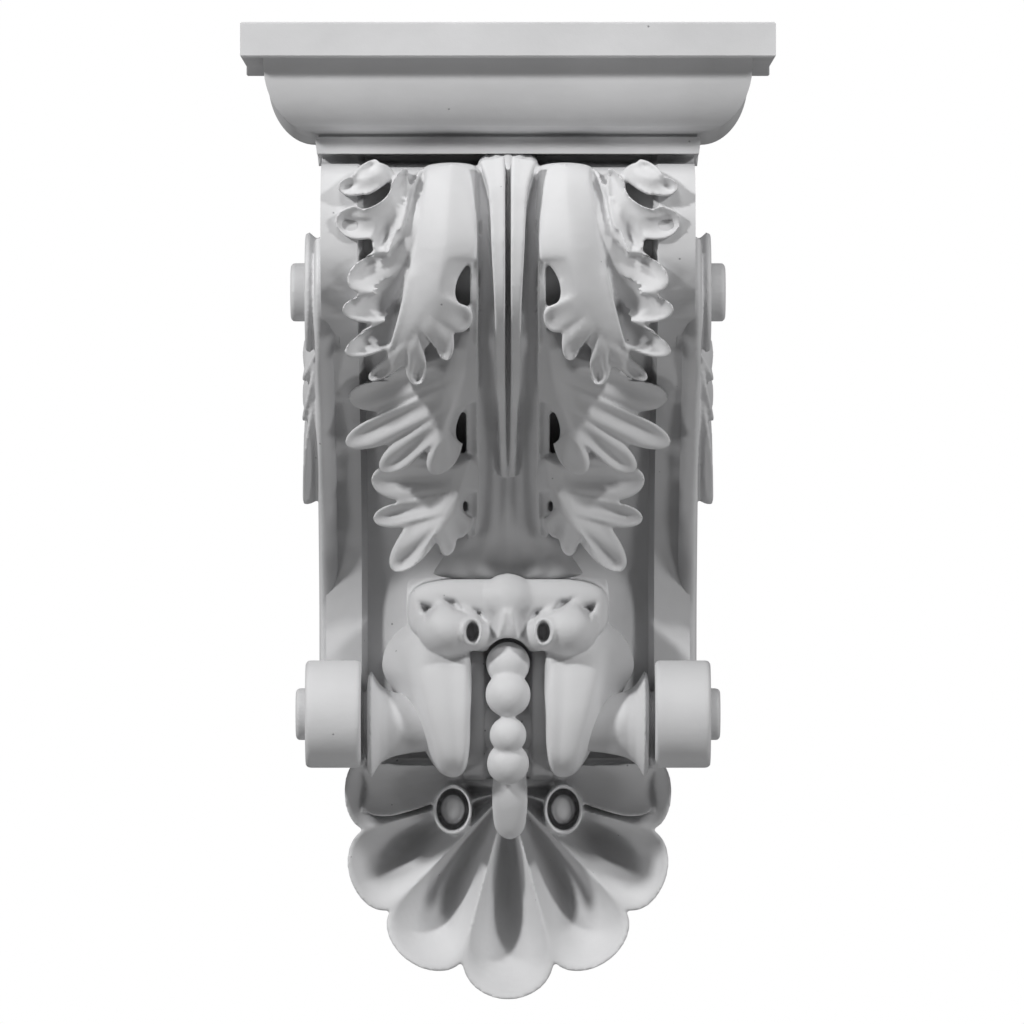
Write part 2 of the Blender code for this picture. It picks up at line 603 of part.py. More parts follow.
def pod_form(side):
    """A pod and its outer flank, lofted down its rows.

    Across a row the front rises off the inner edge by a quarter round, dips by a bell curve in the flute,
    and runs to the ridge, from which the flank falls straight to the outer edge.
    """
    rows, front_steps, flank_steps = POD_STEPS
    height, inner, ridge, outer, front = smooth_rows(POD_ROWS, rows).T[:, :, None]
    share = np.linspace(0, 1, front_steps)[None]
    across = inner + (ridge - inner) * share
    onto_front = np.clip(share / POD_ROUND_SHARE, 0, 1)
    round_off = POD_ROUND * (1 - np.sqrt(1 - (1 - onto_front) ** 2))
    flute_middle, flute_width = POD_FLUTE_PLACE
    flute = POD_FLUTE * np.exp(-((share - flute_middle) / flute_width) ** 2)
    level = front - round_off - flute - POD_RIDGE_DROP * share**6
    flank_share = np.linspace(0.08, 1, flank_steps)[None]
    flank_across = ridge + (outer - ridge) * flank_share
    flank = front - POD_RIDGE_DROP - (front - POD_RIDGE_DROP - POD_FLANK) * flank_share**1.25
    back_across = np.concatenate([outer, inner], axis=1)
    back = np.full_like(back_across, POD_BACK)
    x = np.concatenate([across, flank_across, back_across], axis=1)
    p = np.concatenate([level, flank, back], axis=1)
    return closed_form(mirrored(np.stack([x, p, height + 0 * x], axis=-1), side))


def bead_forms():
    """The beads in their groove, which is a half round sunk in a flat bed, and the tail below them."""
    half = BEAD_BED_HALF_WIDTH
    turn = np.linspace(0, math.pi, BED_STEPS)
    groove = np.column_stack([-BEAD_GROOVE * np.cos(turn), -BEAD_GROOVE * np.sin(turn)])
    edge = np.vstack([[(-half, 0)], groove, [(half, 0)]])
    bed = [
        [(-half, 0, z)] + [(x, front + p, z) for x, p in edge] + [(half, 0, z)]
        for z, front in smooth_rows(BEAD_BED, BED_STEPS)
    ]
    forms = [closed_form(bed), closed_form(tongue(BEAD_TAIL, 40.0, BLADE_RINGS, rim=0.0, crown=4.0))]
    return forms + [ellipsoid((0, projection, height), (radius,) * 3) for height, projection, radius in BEADS]


def shell_curl_forms(side):
    """One rolled ear of the shell, and the knob in its curl."""
    ear = tongue(EAR, EAR_DEPTH, BLADE_RINGS, EAR_RIM, EAR_CROWN, EAR_SIDES)
    return [closed_form(mirrored(ear, side)), closed_form(turned_forward(KNOB_PLACE, KNOB_PROFILE, side))]


def middle_forms():
    """What lies on the middle: sheath, curled end, beads and shell."""
    sheath = tongue(
        SHEATH, 2 * LEAF_ROOT_HOLD, SHEATH_RINGS, rim=0.0, crown=SHEATH_CROWN, sides=SHEATH_SIDES,
        tip=SHEATH_TIP, flutes=SHEATH_FLUTES,
    )
    return [closed_form(sheath), curl_relief(), closed_form(shell_rings())] + bead_forms()


def wall_form():
    """All that lies behind the wall plane, which leaves the back flat."""
    reach = HEIGHT
    return closed_form([
        [(-reach, -reach, z), (-reach, 0, z), (reach, 0, z), (reach, -reach, z)] for z in (-reach, reach)
    ])


def primed_material():
    material = bpy.data.materials.new("grey_primer")
    material.use_nodes = True
    shader = material.node_tree.nodes["Principled BSDF"]
    shader.inputs["Base Color"].default_value = (0.55, 0.55, 0.56, 1.0)
    shader.inputs["Roughness"].default_value = 0.7
    shader.inputs["Metallic"].default_value = 0.0
    return material


def combine(body, operation, piece):
    """Unites a piece with the body, or cuts it from the body."""
    boolean = body.modifiers.new(piece.name, "BOOLEAN")
    boolean.operation = operation
    boolean.object = piece
    boolean.solver = "MANIFOLD"


def blend_together(piece):
    """Melts crossing forms into one skin, as a mould gives it, and keeps only the faces it needs."""
    skin = piece.modifiers.new("one_skin", "REMESH")
    skin.mode = "VOXEL"
    skin.voxel_size = SKIN_STEP * MM
    fewer = piece.modifiers.new("fewer_faces", "DECIMATE")
    fewer.ratio = KEPT_FACES
    fewer.use_symmetry = True
    fewer.symmetry_axis = "X"


def keep_outer_skin(body):
    """Bakes the form and deletes the sealed voids that overlapping folds enclose."""
    bpy.context.view_layer.update()
    evaluated = body.evaluated_get(bpy.context.evaluated_depsgraph_get())
    mesh = bpy.data.meshes.new_from_object(evaluated)
    body.modifiers.clear()
    body.data = mesh
    form = bmesh.new()
    form.from_mesh(mesh)
    skins, left = [], set(form.faces)
    while left:
        skin, edge = set(), {left.pop()}
        while edge:
            skin |= edge
            edge = {near for face in edge for side in face.edges for near in side.link_faces} - skin
        left -= skin
        skins.append(skin)
    skins.sort(key=len)
    for skin in skins[:-1]:
        bmesh.ops.delete(form, geom=list(skin), context="FACES")
    form.to_mesh(mesh)
    form.free()


def main():
    for piece in list(bpy.data.objects):
        bpy.data.objects.remove(piece)
    parts, guides = (bpy.data.collections.new(name) for name in ("acanthus_corbel", "guides"))
    bpy.context.scene.collection.children.link(parts)
    bpy.context.scene.collection.children.link(guides)
    material = primed_material()
    casting = mesh_object("corbel", [closed_form(console_rings(), flat_ends=True)], material, parts)
    cap = mesh_object("cap", [closed_form(cap_rings())], material, guides, guide=True)
    carved = middle_forms()
    for side in (-1, 1):
        carved += side_forms(side) + leaf_forms(side) + shell_curl_forms(side) + [pod_form(side)]
    carving = mesh_object("carving", carved, material, guides, guide=True)
    blend_together(carving)
    keep_outer_skin(carving)
    wall = mesh_object("wall", [wall_form()], material, guides, guide=True)
    combine(casting, "UNION", cap)
    combine(casting, "UNION", carving)
    combine(casting, "DIFFERENCE", wall)
    keep_outer_skin(casting)


main()
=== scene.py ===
"""The looks of the acanthus corbel: a moulded polyurethane casting under light grey primer.

X runs to the right, Z up and Y into the wall; the carved front looks along -Y. Shapes are worked out in
millimetres as across, projection from the wall and height, and placed in metres.
"""

import math

import bmesh
import bpy
import numpy as np
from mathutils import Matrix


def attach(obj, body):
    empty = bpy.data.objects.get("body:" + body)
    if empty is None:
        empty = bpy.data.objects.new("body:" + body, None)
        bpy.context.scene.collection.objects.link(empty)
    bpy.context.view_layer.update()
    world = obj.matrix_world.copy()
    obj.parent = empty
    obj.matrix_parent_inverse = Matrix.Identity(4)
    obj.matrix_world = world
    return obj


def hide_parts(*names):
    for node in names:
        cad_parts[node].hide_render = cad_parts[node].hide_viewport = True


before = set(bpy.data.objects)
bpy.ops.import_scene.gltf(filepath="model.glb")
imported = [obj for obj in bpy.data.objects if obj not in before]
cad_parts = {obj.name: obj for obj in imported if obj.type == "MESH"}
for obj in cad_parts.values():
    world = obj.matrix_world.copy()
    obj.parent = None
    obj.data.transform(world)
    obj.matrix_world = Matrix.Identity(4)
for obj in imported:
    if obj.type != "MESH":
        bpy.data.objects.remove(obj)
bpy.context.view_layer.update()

MM = 0.001

# The casting's driving sizes
HEIGHT = 540.0
TOP = HEIGHT / 2
CAP_DEPTH = 248.0
CAP_HALF_WIDTH = 145.3
BODY_HALF_WIDTH = 102.0

# Cap moulding
FASCIA_HEIGHT = 19.0
FILLET_HEIGHT = 3.0
SOFFIT_SET_BACK = 12.3
OVOLO_REACH = 26.6
OVOLO_HEIGHT = 36.0
QUIRK = 3.0
NECK_HEIGHT = 9.0
NECK_BOTTOM = 200.0
# How far a back that lies inside another form stays in front of the wall plane
BACK_SET_IN = 6.0
NECK_SET_BACKS = (1.0, 2.0)
FASCIA_EDGE = 0.8
OVOLO_STEPS = 20
MOULD_DRAFT = 2.7
DRAFT_PROJECTION = 103.0

# Console: height and projection of its front border, from the cap down
BORDER_PROFILE = [
    (212, 184), (200, 184), (196, 189), (194, 204), (190, 218), (184, 226), (174, 231), (161, 234),
    (140, 232), (120, 218), (104, 195), (90, 173), (75, 150), (55, 121), (35, 97), (15, 78), (0, 67),
    (-20, 58), (-40, 54), (-80, 56), (-138, 52),
]
BORDER_INNER_EDGE = 82.0
PANEL_HALF_WIDTH = 78.7
PANEL_RECESS = 11.0
CONSOLE_LEVELS = 160
# Triangles that close the console's ends, over the eight corners of one level
CONSOLE_END = np.array([(0, 1, 2), (0, 2, 3), (0, 3, 4), (0, 4, 7), (4, 5, 7), (5, 6, 7)])

# Lower scrolls and the roll between them: radius and distance across, outwards
LOWER_AXIS = (78.0, -108.7)
LOWER_SCROLL = [
    (0, 82), (28.5, 82), (30, 83.5), (30, 111.5), (28.5, 113), (24.5, 113), (23.5, 110), (15.5, 110),
    (14.5, 111), (14.5, 117), (13, 118.5), (0, 118.5),
]
ROLL_AXIS = (70.0, -114.5)
ROLL_BELL = [
    (0, 0), (14, 0), (14, 30), (15, 45), (16, 54), (17.5, 62), (19, 67), (22, 71.5), (26.5, 74.5),
    (29.5, 76), (29, 77.5), (26, 78.5), (18, 79), (18, 90), (0, 90),
]

# Upper scrolls on the sides: radius and distance across, outwards
UPPER_AXIS = (168.0, 125.0)
UPPER_SCROLL = [
    (0, 92), (33, 92), (33, 101), (30.5, 103), (29.5, 105.5), (31.5, 107.5), (33, 109), (32.5, 110.8),
    (31, 111.5), (24, 111), (20, 107), (16, 107), (16, 118), (14.5, 119.5), (0, 119.5),
]

# Leaf on each side: projection, height, distance across, half width
SIDE_LEAF = [
    [(150, 98, 104, 8), (132, 90, 110, 12), (118, 80, 112, 8)],
    [(142, 92, 104, 9), (118, 72, 110, 13), (100, 58, 112.5, 8)],
    [(132, 88, 102, 10), (100, 52, 110, 17), (66, 10, 112.5, 9)],
]
SIDE_RIB = [
    (196, 152), (204, 125), (182, 95), (150, 76), (116, 48), (84, 18), (62, -14), (44, -50), (40, -92),
]
SIDE_RIB_HALF_WIDTH = 7.0
SIDE_RIB_RELIEF = 4.0
SIDE_RIB_RINGS = 120

# Acanthus leaf, right half. A rib is rows of (across, height, projection, half width).
MIDRIB = [
    (8.4, 195, 221, 7), (6.6, 185, 229, 5.2), (5.8, 174, 234, 4.3), (5.2, 146, 236, 3.7),
    (4.4, 114, 223, 2.9), (4.2, 78, 175, 2.7), (3.4, 60, 144, 2.1), (2.7, 25, 100, 1.6),
]
SHEATH = [
    (0, 197, 200, 16), (0, 188, 210, 17), (0, 158, 220, 18), (0, 125, 212, 18), (0, 104, 193, 19),
    (0, 85, 166, 19), (0, 66, 139, 20), (0, 44, 113, 20), (0, 22, 93, 21), (0, 4, 81, 23),
    (0, -10, 76, 28), (0, -22, 76, 37), (0, -34, 78, 45),
]
SHEATH_CROWN = 5.0
SHEATH_FLUTES = (5, 0.8)
SHEATH_TIP = 0.1
SHEATH_RINGS = 100
SHEATH_SIDES = 120
STEM = [
    (18.3, 156, 224, 2.2), (18.3, 141, 229, 2.2), (18.4, 118, 222, 2.4), (19.3, 93, 190, 2.8),
    (20, 66, 153, 3.2), (20, 39, 120, 3.2), (19.5, 11, 98, 3.2), (20.5, -10, 84, 2.6),
]

# A sheet of the leaf is a spine of (across, height, projection) and a rim. Each row of the rim is a notch
# and the tip of the lobe after it: (place along the spine, notch, tip, how deep the lobe is hollowed).
# Between them stands the power that sets how far out the hollows lie.
SHEETS = [
    ([(31, 194, 220), (32, 178, 234), (34, 152, 242), (38, 128, 238), (46, 109, 228), (54, 97, 218)], 2.6, [
        (0, (17, 192, 213), (16, 166, 231), 0),
        (2.4, (17, 141, 231), (28, 129, 230), 0),
        (3.2, (24, 117, 226), (20, 107, 222), 4),
        (3.8, (30, 103, 219), (33, 87, 213), 6),
        (4.3, (40, 99, 214), (44, 95, 212), 0),
        (4.5, (46, 93, 212), (48, 74, 202), 8),
        (5, (57, 85, 206), (75, 76, 199), 7),
        (4.8, (68, 88, 203), (53, 140, 231), 0),
        (0.2, (46, 192, 212), (31, 195, 212), 0),
    ]),
    ([(45, 189, 213), (48, 170, 228), (52, 150, 230), (57, 130, 222), (62, 112, 207)], 1.3, [
        (0, (38, 188, 213), (46, 140, 224), 0),
        (4, (64, 94, 213), (89, 91, 217), 3),
        (3.4, (67, 108, 222), (90, 113, 229), 5),
        (2.4, (72, 123, 231), (87, 133, 236), 6),
        (1.2, (65, 145, 234), (60, 162, 232), 3),
        (0, (49, 190, 214), (43, 191, 212), 0),
    ]),
    ([(58, 188, 220), (62, 177, 231), (68, 169, 235), (75, 165, 238), (81, 162, 239)], 1.5, [
        (0, (55, 187, 219), (55, 168, 231), 0),
        (1.4, (60, 157, 232), (67, 145, 234), 6),
        (2.6, (74, 153, 237), (93, 159, 238), 7),
        (3.6, (82, 171, 240), (72, 171, 240), 0),
        (0.8, (64, 181, 235), (57, 191, 228), 3),
    ]),
    ([(65, 189, 230), (70, 187, 236), (75, 186, 240), (80, 184, 241)], 1.5, [
        (0, (62, 188, 228), (70, 180, 236), 0),
        (2.4, (78, 177, 239), (92, 179, 239), 5),
        (2.4, (84, 187, 240), (76, 195, 234), 5),
        (1, (71, 193, 232), (66, 193, 230), 0),
    ]),
    ([(22, 104, 207), (24, 82, 191), (28, 66, 177), (33, 52, 167), (39, 41, 160)], 1.15, [
        (0, (17, 104, 198), (16, 84, 178), 0),
        (2.4, (18, 65, 155), (28, 54, 150), 0),
        (3.2, (25, 42, 144), (38, 25, 140), 4),
        (4, (44, 38, 145), (47, 40, 145), 0),
        (3.4, (48, 36, 138), (69, 26, 129), 11),
        (2.2, (63, 43, 138), (90, 43, 132), 12),
        (1.2, (64, 60, 148), (88, 67, 148), 12),
        (0.4, (66, 77, 166), (52, 92, 182), 6),
        (0, (36, 103, 192), (27, 105, 196), 0),
    ]),
    ([(21, 34, 132), (24, 20, 124), (30, 6, 118), (38, -4, 114), (47, -12, 110)], 1.15, [
        (0, (17, 31, 118), (16, 22, 112), 0),
        (1.2, (17, 15, 108), (25, 9, 107), 0),
        (1.9, (20, 1, 101), (24, -9, 98), 4),
        (2.7, (29, -7, 101), (33, -20, 97), 4),
        (3.4, (39, -11, 102), (63, -29, 93), 10),
        (2.2, (57, -4, 98), (75, 1, 98), 11),
        (1.2, (56, 10, 103), (76, 22, 107), 11),
        (0.4, (56, 30, 115), (38, 38, 122), 5),
    ]),
]
SHEET_RIM = 3.4
SHEET_DOME = 1.5
SHEET_EDGE = 3.0
CREST_SINK = 0.35
SHEET_CROWN = 0.14
HOLLOW_FULLNESS = 0.65
LOBE_FULLNESS = 0.72
LEAF_RIM = 2.6
LEAF_CROWN = 1.6
LEAF_TIP_THICKNESS = 9.0
LEAF_ROOT_HOLD = 8.0
RIB_RINGS = 80
PATH_STEPS = 90
LOBE_TIP = 1.3
# The tip's half ellipse stops at this share of its length, short of a point
TIP_STOP = 0.995
# A sheet: its steps round a lobe, along the spine and out to the rim, and the steps that a crest blends over
LOBE_STEPS = 22
SPINE_STEPS = 60
SHEET_RINGS = 22
CREST_BLEND = 11
# The way out where a sheet's edge starts to round off, and how its thickness fades with the way out
EDGE_START = 0.9
THICKNESS_FADE = (1.35, 1.5)

# Curled leaf end: a plate, and bosses of (across, height, projection) and their radii, melted into one relief
CURL_PLATE = ((0, -50.5), (56, 20.5))
CURL_PLATE_SQUARENESS = 3.2
CURL_PLATE_SAG = 3.0
CURL_PLATE_FRONT = (84, 16)
CURL_BOSSES = [
    ((33.2, -60.5, 91), (17.5, 15.5, 22)), ((0, -44, 90), (15, 14, 16)), ((0, -57, 92), (8.5, 15, 14)),
    ((19.5, -62, 93), (10, 11.5, 16)), ((0, -60, 82), (30, 14, 15)),
]
CURL_BACK = 40.0
CURL_DEPTH = 12.0
CURL_MELT = 1.8
# Projection that the soft maximum is measured from, which keeps its exponentials small
MELT_LEVEL = 100
CURL_FIELD = ((-57, 57.1), (-84, -26))
CURL_PLATE_EDGE = 0.3
# Projection from which the folds, pits and eyes start, and over which they come in
CURL_STANDING = (84, 8)
FOLD_RIDGES = [((1.6, -52), (5.5, -67))]
FOLD_HEIGHT = 2.4
FOLD_WIDTH = 1.6
EYE = ((19.8, -62.5), (3.5, 5.2))
EYE_DEPTH = 15.0
EYE_RIM = 3.4
EYE_RIM_PLACE = (1.45, 0.4)
EYE_SHARP = 14.0
# Pits cut in the curled end: corners of each, clockwise seen from the front
PITS = [
    [(48.6, -46.8), (45.5, -55.2), (40.3, -48.4)],
    [(36.0, -44.2), (30.0, -45.2), (23.4, -51.8), (29.5, -50.2)],
    [(19.5, -49.8), (15.5, -51.2), (11.0, -57.4), (14.6, -55.8)],
]
PIT_DEPTH = 9.0
PIT_EDGE = 0.4

# Below it: the pods with their outer flanks, as rows of height, inner edge, ridge, outer edge and projection
POD_ROWS = [
    (-56, 24, 44, 53, 80), (-63, 22, 47, 62, 87), (-71, 21, 49, 68, 93), (-83, 20.5, 49, 70.5, 98),
    (-95, 20.3, 47.5, 65, 100.5), (-110, 20.8, 44.5, 57, 101.5), (-123, 21.2, 41.5, 50, 100),
    (-133, 22, 39.5, 44.5, 97), (-139, 23.6, 37.5, 40.5, 92), (-142.5, 26, 35, 37, 86),
    (-144, 29, 32.5, 33.5, 80),
]
POD_FLANK = 60.0
POD_BACK = 30.0
POD_ROUND = 9.0
POD_ROUND_SHARE = 0.16
POD_FLUTE = 0.8
POD_FLUTE_PLACE = (0.38, 0.13)
POD_RIDGE_DROP = 3.5
POD_FLANK_START = 0.08
POD_FLANK_FALL = 1.25
POD_STEPS = (90, 40, 14)
BEADS = [(-80.4, 90.0, 12.3), (-97.4, 96.0, 12.6), (-120.0, 96.0, 10.3), (-136.0, 91.0, 11.8)]
BEAD_BED = [(-62, 84), (-100, 86), (-122, 84), (-134, 74), (-146, 50)]
BEAD_BED_HALF_WIDTH = 25.0
BEAD_GROOVE = 13.2
BED_STEPS = 24
BEAD_TAIL = [(1, -140, 78, 9), (1, -158, 74, 10), (1, -179, 62, 8)]
BEAD_TAIL_DEPTH = 40.0
BEAD_TAIL_CROWN = 4.0
ARCH = (12.8, -79.0, 13.0)

# Shell: hub, and the notches between its seven flutes from the bottom one outwards
SHELL_HUB = (0.0, -152.0)
SHELL_NOTCHES = [(25.6, -248.0), (66.0, -219.5), (80.0, -174.0), (82.0, -134.0)]
SHELL_BULGES = [21.6, 17.5, 16.5, 11.0]
SHELL_RIDGE = (42.0, 46.0)
SHELL_FLUTE_DEPTH = 28.0
SHELL_FLUTE_REACH = 1.2
SHELL_FLUTE_STOP = 0.97
# Places from the hub (0) to the rim (1), closer together in the lip
SHELL_RADII = np.concatenate([np.linspace(0.1, 0.9, 24), np.linspace(0.92, 1.0, 8)])
SHELL_LIP = 8.0
SHELL_BACK_SET_IN = 0.93
EAR = [
    (27, -146, 40, 7), (40, -148, 44, 10), (60, -151, 46, 14), (76, -152, 43, 16.5), (84, -152, 38, 16.5),
]
EAR_DEPTH = 30.0
EAR_CROWN = 1.0
EAR_RIM = 6.0
KNOB_PLACE = (31.0, -162.5)
KNOB_STRETCH = (0.84, 1.08)
KNOB_PROFILE = [
    (13, 18), (13, 62), (12.4, 64), (11.2, 63), (10.4, 46), (8, 46), (7.8, 55), (6, 58.5), (0, 60),
]

# The skin over crossing forms: its step, how far it is softened, and the faces that each piece may keep
SKIN_STEP = 1.0
SOFTENING = 0.5
SOFTENING_ROUNDS = 6
MOST_FACES = 180000
SHARP_ANGLE = 35.0

# Sockets of the colour mix by number, since several share a name: share, two colours, and the result
MIX_SHARE, MIX_FIRST, MIX_SECOND, MIX_RESULT = 0, 6, 7, 2

# The photograph's view: square frame of 1024 pixels, long lens, eye level with the corbel's middle
CAMERA_DISTANCE = 5.9
CAMERA_HEIGHT = 0.0042
FOCAL_PIXELS = 10423.0
FRAME_PIXELS = 1024.0
SENSOR_WIDTH = 36.0
CENTRE_PIXEL = 508.0
VIEW_REACH = 100.0

# Studio: lights by name, with azimuth and elevation in degrees, distance, size in metres, and power
LIGHTS = [
    ("key", 52, 31, 3.0, 0.25, 62),
    ("overhead", 15, 58, 3.0, 0.8, 20),
    ("second", -50, 30, 3.0, 0.3, 37),
    ("low_left", 60, -26, 3.4, 0.8, 18),
    ("low_right", -60, -26, 3.4, 0.8, 22),
]
AIR_LIGHT = 0.055
LIGHT_AIM = -0.12
FLOOR_REACH = 30.0
FLOOR_HEIGHT = -4.6


def smooth_rows(rows, count):
    """Catmull-Rom curve through the rows, read at evenly spaced parameters."""
    rows = np.array(rows, float)
    ends = np.vstack([2 * rows[0] - rows[1], rows, 2 * rows[-1] - rows[-2]])
    place = np.linspace(0, len(rows) - 1, count)
    first = np.minimum(place.astype(int), len(rows) - 2)
    part = (place - first)[:, None]
    a, b, c, d = ends[first], ends[first + 1], ends[first + 2], ends[first + 3]
    squares = (2 * a - 5 * b + 4 * c - d) * part**2
    cubes = (3 * b - a - 3 * c + d) * part**3
    return (2 * b + (c - a) * part + squares + cubes) / 2


def unit(vectors):
    return vectors / np.linalg.norm(vectors, axis=-1, keepdims=True)


def panel_projection(height):
    """Projection of the console's sunk panel at a height."""
    heights, projections = np.array(BORDER_PROFILE, float).T
    return np.interp(height, heights[::-1], projections[::-1]) - PANEL_RECESS


def closed_form(rings, ends=None):
    """Points and faces of a closed form from rings of (across, projection, height).

    The end rings are closed on their middles, or by the triangles given over a ring's corners.
    """
    rings = np.asarray(rings, float)
    count, sides = rings.shape[:2]
    points = np.vstack([rings.reshape(-1, 3), rings[0].mean(0), rings[-1].mean(0)])
    low = np.arange((count - 1) * sides).reshape(count - 1, sides)
    after = np.roll(low, -1, axis=1)
    walls = np.stack([low, after, after + sides, low, after + sides, low + sides], axis=-1).reshape(-1, 3)
    if ends is not None:
        return points[:-2], np.vstack([walls, ends[:, ::-1], ends + (count - 1) * sides])
    first, last = np.arange(sides), np.arange(sides) + (count - 1) * sides
    start = np.column_stack([np.full(sides, count * sides), np.roll(first, -1), first])
    end = np.column_stack([np.full(sides, count * sides + 1), last, np.roll(last, -1)])
    return points, np.vstack([walls, start, end])


def mesh_object(name, forms):
    """One object that holds the closed forms, each with its faces turned outwards."""
    points, faces, used = [], [], 0
    for form_points, form_faces in forms:
        points.append(form_points)
        faces.append(form_faces + used)
        used += len(form_points)
    across, projection, height = np.vstack(points).T
    mesh = bpy.data.meshes.new(name)
    mesh.from_pydata(np.column_stack([across, -projection, height]) * MM, [], np.vstack(faces))
    form = bmesh.new()
    form.from_mesh(mesh)
    bmesh.ops.recalc_face_normals(form, faces=form.faces)
    form.to_mesh(mesh)
    form.free()
    piece = bpy.data.objects.new(name, mesh)
    bpy.context.scene.collection.objects.link(piece)
    return piece


def ellipsoid(centre, radii, rows=23, sides=48):
    """A sphere stretched to three radii about a centre, in across, projection and height."""
    polar = np.linspace(0, math.pi, rows + 2)[1:-1, None]
    angle = np.linspace(0, 2 * math.pi, sides, endpoint=False)[None]
    ball = [np.sin(polar) * np.cos(angle), np.sin(polar) * np.sin(angle), np.cos(polar) + 0 * angle]
    return closed_form(np.array(centre) + np.stack(ball, -1) * np.array(radii))


def turned(profile, sides=96):
    """Rings of a profile of (radius, distance) turned about the first axis."""
    angle = np.linspace(0, 2 * math.pi, sides, endpoint=False)
    radius, distance = np.array(profile, float).T[:, :, None]
    return np.stack([distance + 0 * angle, radius * np.cos(angle), radius * np.sin(angle)], axis=-1)


def turned_across(axis, profile, side):
    """A profile turned about a line across the corbel."""
    return turned(profile) * [side, 1, 1] + [0, axis[0], axis[1]]


def turned_forward(place, profile, side):
    """A profile turned about a line that comes out of the wall."""
    wide, high = KNOB_STRETCH
    return turned(profile)[..., [1, 0, 2]] * [wide, 1, high] + [side * place[0], 0, place[1]]


def tongue(path, root_thickness, rings=30, rim=LEAF_RIM, crown=LEAF_CROWN, sides=28, tip=LOBE_TIP,
           flutes=(0, 0)):
    """Rings of a tongue-shaped lobe along a path of (u, v, lift, half width).

    Each ring is cos(a) half widths sideways. Its front stands crown * sin(a) + rim * cos(a)^2 off the
    path, so the edges stand up like a gutter's, and its underside falls by the lobe's thickness, which
    shrinks from the root to the tip. The tip is closed as half an ellipse as long as `tip` half
    widths. Flutes, as a number and a depth, are a cosine wave across the front.
    """
    curve = smooth_rows(path, PATH_STEPS)
    centre = curve[:, [0, 2, 1]]
    run = np.concatenate([[0], np.cumsum(np.linalg.norm(np.diff(centre, axis=0), axis=1))])
    along = np.sin(np.linspace(0, math.pi / 2, rings)) * run[-1]
    centre = np.column_stack([np.interp(along, run, centre[:, k]) for k in range(3)])
    half_width = np.interp(along, run, curve[:, 3])
    tip_start = run[-1] - tip * curve[-1, 3]
    into_tip = np.clip((along - tip_start) / (run[-1] - tip_start), 0, TIP_STOP)
    closing = np.sqrt(1 - into_tip**2)[:, None]
    heading = unit(np.gradient(centre, along, axis=0))
    sideways = unit(np.cross(heading, [0.0, 1.0, 0.0]))
    outwards = np.cross(sideways, heading)
    outwards *= np.sign(outwards[:, 1:2])
    thickness = (root_thickness + (LEAF_TIP_THICKNESS - root_thickness) * along / run[-1])[:, None]
    angle = np.linspace(0, 2 * math.pi, sides, endpoint=False)[None] + math.pi / sides
    lift = np.where(np.sin(angle) > 0, crown, thickness) * np.sin(angle) + rim * np.cos(angle) ** 2
    lift = lift + flutes[1] * np.cos(flutes[0] * math.pi * np.cos(angle)) * np.clip(np.sin(angle), 0, None)
    offset = half_width[:, None] * np.cos(angle)
    flat = centre[:, None] + (offset * closing)[..., None] * sideways[:, None]
    return flat + (lift * closing)[..., None] * outwards[:, None]


def lobed_rim(rim, steps=LOBE_STEPS):
    """Places round a sheet's rim, with their place along the spine, place across their lobe, and its hollow.

    Between two notches the rim is half an ellipse that leans over to the lobe's tip; a hollow lobe's end
    is blunter, by a power of the sine under one.
    """
    turn = np.linspace(0, math.pi, steps, endpoint=False)[:, None]
    share = (1 - np.cos(turn)) / 2
    places, along, across, hollow = [], [], [], []
    for (start, notch, tip, cup), (stop, after, _, _) in zip(rim, rim[1:] + rim[:1]):
        notch, tip, after = (np.array(point, float) for point in (notch, tip, after))
        bulge = np.sin(turn) ** (LOBE_FULLNESS if cup else 1.0)
        places.append(notch + (after - notch) * share + (tip - (notch + after) / 2) * bulge)
        along.append(start + (stop - start) * share[:, 0])
        across.append(-np.cos(turn[:, 0]))
        hollow.append(np.full(steps, float(cup)))
    return np.vstack(places), np.concatenate(along), np.concatenate(across), np.concatenate(hollow)


